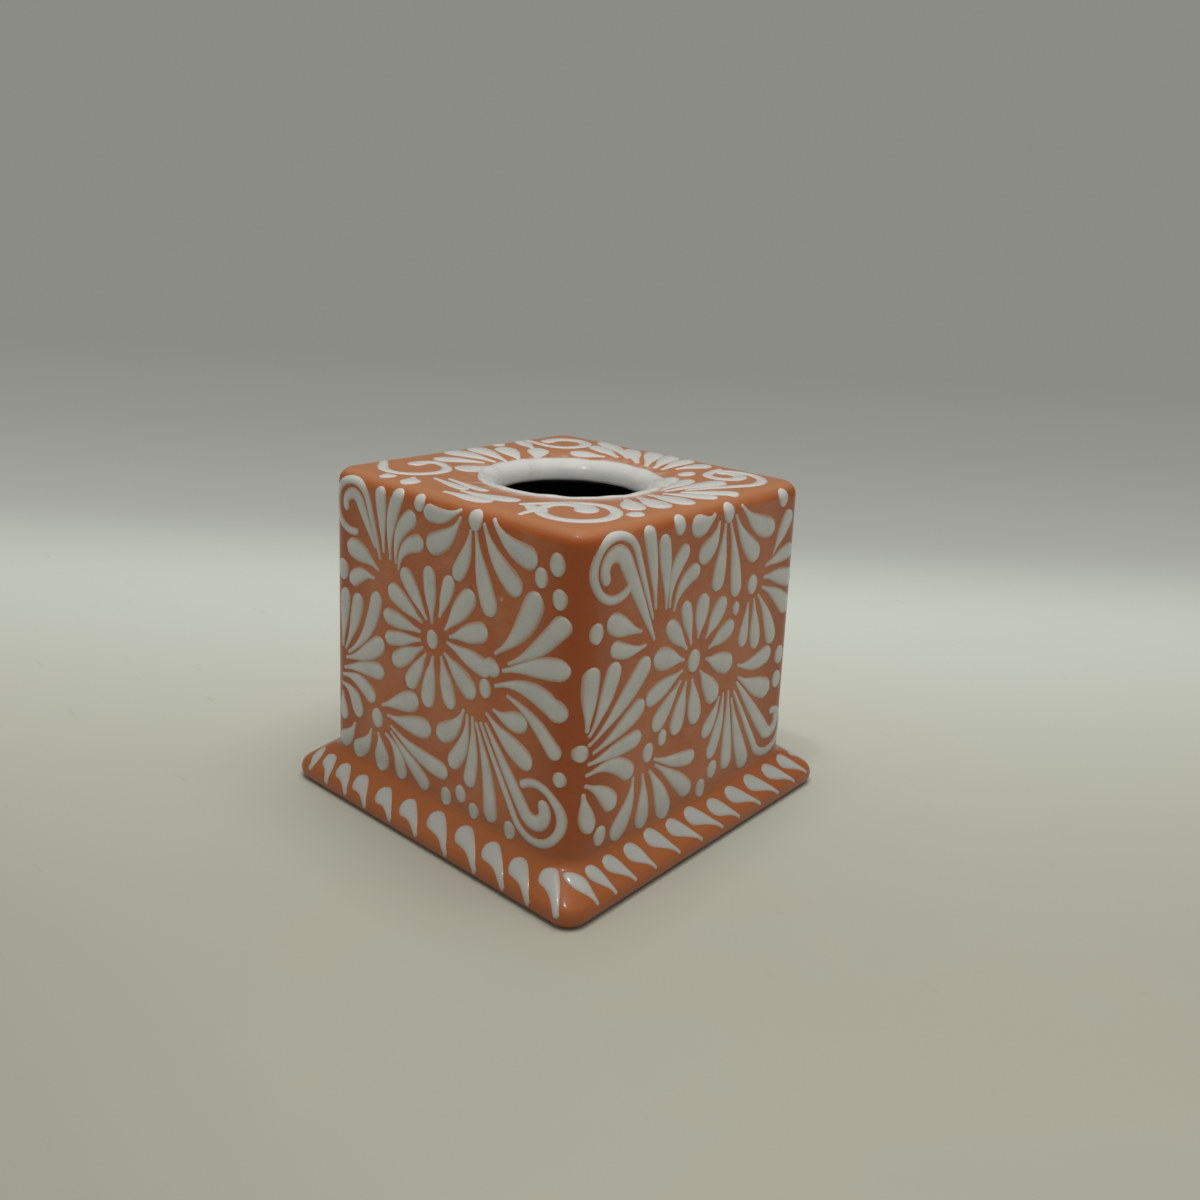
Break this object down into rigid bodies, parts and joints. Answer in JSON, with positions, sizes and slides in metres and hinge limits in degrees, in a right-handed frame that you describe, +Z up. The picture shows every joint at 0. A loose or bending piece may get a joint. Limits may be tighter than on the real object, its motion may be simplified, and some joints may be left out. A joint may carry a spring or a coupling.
{
  "type": "tissue box cover",
  "caption": "Square glazed earthenware cover that drops over an upright box of tissues, with a round lipped opening, a flared skirt and a raised floral pattern of trailed slip.",
  "frame": {"origin": "centre of the foot ring, in the plane of the table", "axes": "+Z up through the opening; the front is towards -Y and the right-hand side towards +X"},
  "size_m": [0.169, 0.1692, 0.1401],
  "materials": {
    "clay": "terracotta body under a clear satin glaze",
    "slip": "cool white raised slip under the same satin glaze"
  },
  "bodies": {
    "root": {"shell": "clay", "lip_slip": "slip", "front_daisy": "slip", "front_scrolls": "slip", "front_left_sprays": "slip", "front_right_sprays": "slip", "front_upper_sprays": "slip", "front_dots": "slip", "front_skirt_drops": "slip", "right_daisy": "slip", "right_scrolls": "slip", "right_left_sprays": "slip", "right_right_sprays": "slip", "right_upper_sprays": "slip", "right_dots": "slip", "right_skirt_drops": "slip", "back_daisy": "slip", "back_scrolls": "slip", "back_left_sprays": "slip", "back_right_sprays": "slip", "back_upper_sprays": "slip", "back_dots": "slip", "back_skirt_drops": "slip", "left_daisy": "slip", "left_scrolls": "slip", "left_left_sprays": "slip", "left_right_sprays": "slip", "left_upper_sprays": "slip", "left_dots": "slip", "left_skirt_drops": "slip", "top_scrolls": "slip", "top_sprays": "slip", "top_dots": "slip"}
  },
  "joints": []
}
